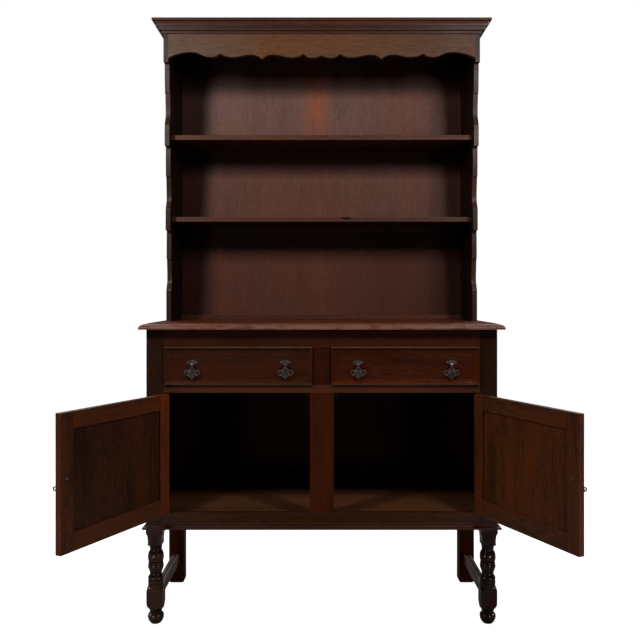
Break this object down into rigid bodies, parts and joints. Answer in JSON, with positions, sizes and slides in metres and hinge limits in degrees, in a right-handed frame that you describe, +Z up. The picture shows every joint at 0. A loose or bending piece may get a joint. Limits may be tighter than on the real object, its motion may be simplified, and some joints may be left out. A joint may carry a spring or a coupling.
{
  "type": "welsh dresser",
  "caption": "Dark oak Welsh dresser: open plate rack with scalloped sides over a base with panelled drawers, open cupboard doors and turned front legs.",
  "frame": {"origin": "on the floor, on the dresser's middle plane, midway between the back and the front of the open doors; the left door stands 2 degrees wider open, so the bounding box is centred 7 mm further left", "axes": "+X to the viewer's right, +Y from the front to the back, +Z up; the front faces -Y"},
  "size_m": [1.3127, 0.8008, 1.831],
  "materials": {
    "oak_frame": "dark stained oak, worn satin polish",
    "oak_carved": "dark stained oak, satin",
    "oak_back": "stained thin boarding, satin",
    "oak_turned": "very dark stained oak, glossy",
    "oak_door": "dark stained oak, satin",
    "oak_drawer": "dark red-brown stained oak, glossy",
    "plain_inner": "unpolished oak",
    "aged_bronze": "dark aged bronze",
    "hinge_steel": "dark oxidised steel"
  },
  "bodies": {
    "carcass": {"base_top": "oak_frame", "front_post_left": "oak_frame", "front_post_right": "oak_frame", "back_post_left": "oak_frame", "back_post_right": "oak_frame", "top_rail": "oak_frame", "mid_rail": "oak_frame", "bottom_rail": "oak_frame", "drawer_muntin": "oak_frame", "door_muntin": "oak_frame", "side_panel_left": "oak_frame", "side_panel_right": "oak_frame", "floor_board": "plain_inner", "base_back": "oak_back", "dust_board": "plain_inner", "base_moulding": "oak_frame", "front_leg_left": "oak_turned", "front_leg_right": "oak_turned", "stretcher_left": "oak_turned", "stretcher_right": "oak_turned", "door_stop": "plain_inner", "rack_side_left": "oak_carved", "rack_side_right": "oak_carved", "frieze": "oak_carved", "cornice": "oak_frame", "rack_top_board": "oak_frame", "shelf_upper": "oak_frame", "shelf_lower": "oak_frame", "rack_back": "oak_back", "rack_bottom_batten": "oak_back", "hinge_fixed_leaf_left_lower": "hinge_steel", "hinge_fixed_leaf_left_upper": "hinge_steel", "hinge_fixed_leaf_right_lower": "hinge_steel", "hinge_fixed_leaf_right_upper": "hinge_steel"},
    "drawer_left": {"drawer_front_left": "oak_drawer", "drawer_box_left": "plain_inner", "drawer_bottom_left": "plain_inner", "drawer_left_plate_a": "aged_bronze", "drawer_left_plate_b": "aged_bronze"},
    "door_left": {"door_frame_left": "oak_door", "door_panel_left": "oak_door", "hinge_door_leaf_left_lower": "hinge_steel", "hinge_door_leaf_left_upper": "hinge_steel", "door_left_plate": "aged_bronze"},
    "drawer_drop_left_a": {"drawer_left_drop_a": "aged_bronze"},
    "drawer_drop_left_b": {"drawer_left_drop_b": "aged_bronze"},
    "door_drop_left": {"door_left_drop": "aged_bronze"},
    "drawer_right": {"drawer_front_right": "oak_drawer", "drawer_box_right": "plain_inner", "drawer_bottom_right": "plain_inner", "drawer_right_plate_a": "aged_bronze", "drawer_right_plate_b": "aged_bronze"},
    "door_right": {"door_frame_right": "oak_door", "door_panel_right": "oak_door", "hinge_door_leaf_right_lower": "hinge_steel", "hinge_door_leaf_right_upper": "hinge_steel", "door_right_plate": "aged_bronze"},
    "drawer_drop_right_a": {"drawer_right_drop_a": "aged_bronze"},
    "drawer_drop_right_b": {"drawer_right_drop_b": "aged_bronze"},
    "door_drop_right": {"door_right_drop": "aged_bronze"}
  },
  "joints": [
    {"name": "drawer_slide_left", "type": "slide", "parent": "carcass", "child": "drawer_left", "axis": [0, -1, 0], "range_m": [0, 0.27]},
    {"name": "door_hinge_left", "type": "hinge", "parent": "carcass", "child": "door_left", "pos_m": [-0.46425, -0.00342, 0.5105], "axis": [0, 0, -1], "range_deg": [-116.9, 53.1]},
    {"name": "drawer_drop_pivot_left_a", "type": "hinge", "parent": "drawer_left", "child": "drawer_drop_left_a", "pos_m": [-0.381, -0.00862, 0.771], "axis": [-1, 0, 0], "range_deg": [0, 85]},
    {"name": "drawer_drop_pivot_left_b", "type": "hinge", "parent": "drawer_left", "child": "drawer_drop_left_b", "pos_m": [-0.107, -0.00862, 0.771], "axis": [-1, 0, 0], "range_deg": [0, 85]},
    {"name": "door_drop_pivot_left", "type": "hinge", "parent": "door_left", "child": "door_drop_left", "pos_m": [-0.65382, -0.36559, 0.5155], "axis": [0.4524, 0.8918, 0], "range_deg": [0, 85]},
    {"name": "drawer_slide_right", "type": "slide", "parent": "carcass", "child": "drawer_right", "axis": [0, -1, 0], "range_m": [0, 0.27]},
    {"name": "door_hinge_right", "type": "hinge", "parent": "carcass", "child": "door_right", "pos_m": [0.46425, -0.00342, 0.5105], "axis": [0, 0, 1], "range_deg": [-114.9, 55.1]},
    {"name": "drawer_drop_pivot_right_a", "type": "hinge", "parent": "drawer_right", "child": "drawer_drop_right_a", "pos_m": [0.107, -0.00862, 0.771], "axis": [-1, 0, 0], "range_deg": [0, 85]},
    {"name": "drawer_drop_pivot_right_b", "type": "hinge", "parent": "drawer_right", "child": "drawer_drop_right_b", "pos_m": [0.381, -0.00862, 0.771], "axis": [-1, 0, 0], "range_deg": [0, 85]},
    {"name": "door_drop_pivot_right", "type": "hinge", "parent": "door_right", "child": "door_drop_right", "pos_m": [0.64106, -0.37199, 0.5155], "axis": [0.421, -0.907, 0], "range_deg": [0, 85]}
  ]
}
